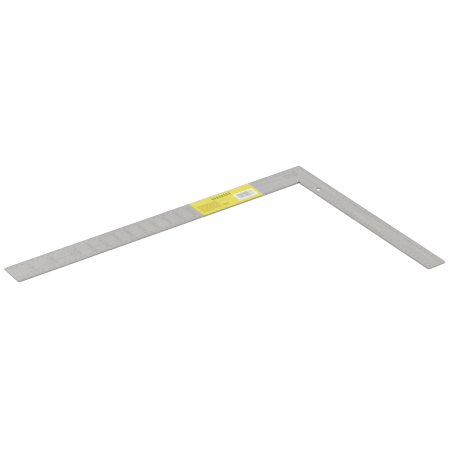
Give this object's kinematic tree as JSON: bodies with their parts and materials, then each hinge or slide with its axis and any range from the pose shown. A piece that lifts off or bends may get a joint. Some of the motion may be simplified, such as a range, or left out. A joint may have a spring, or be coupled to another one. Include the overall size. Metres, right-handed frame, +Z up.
{
  "type": "steel square",
  "caption": "Flat L-shaped steel square with a long wide blade, a shorter narrow tongue, a hanging hole, a relieved inner corner and a stuck-on paper label.",
  "frame": {"origin": "the outer corner of the heel, where the blade's and the tongue's outer edges meet, in the plane of the underside", "axes": "+X along the blade from the heel to its tip, +Y along the tongue from the heel to its tip, +Z up from the underside to the face that carries the label"},
  "size_m": [0.6096, 0.4064, 0.0023],
  "materials": {
    "steel": "ground along each leg, satin",
    "adhesive": "soft clear acrylic film",
    "yellow_label": "coated, semi-gloss",
    "white_sticker": "coated, semi-gloss"
  },
  "bodies": {
    "root": {"steel_square": "steel", "label_adhesive": "adhesive", "label_face": "yellow_label", "barcode_sticker": "white_sticker"}
  },
  "joints": []
}
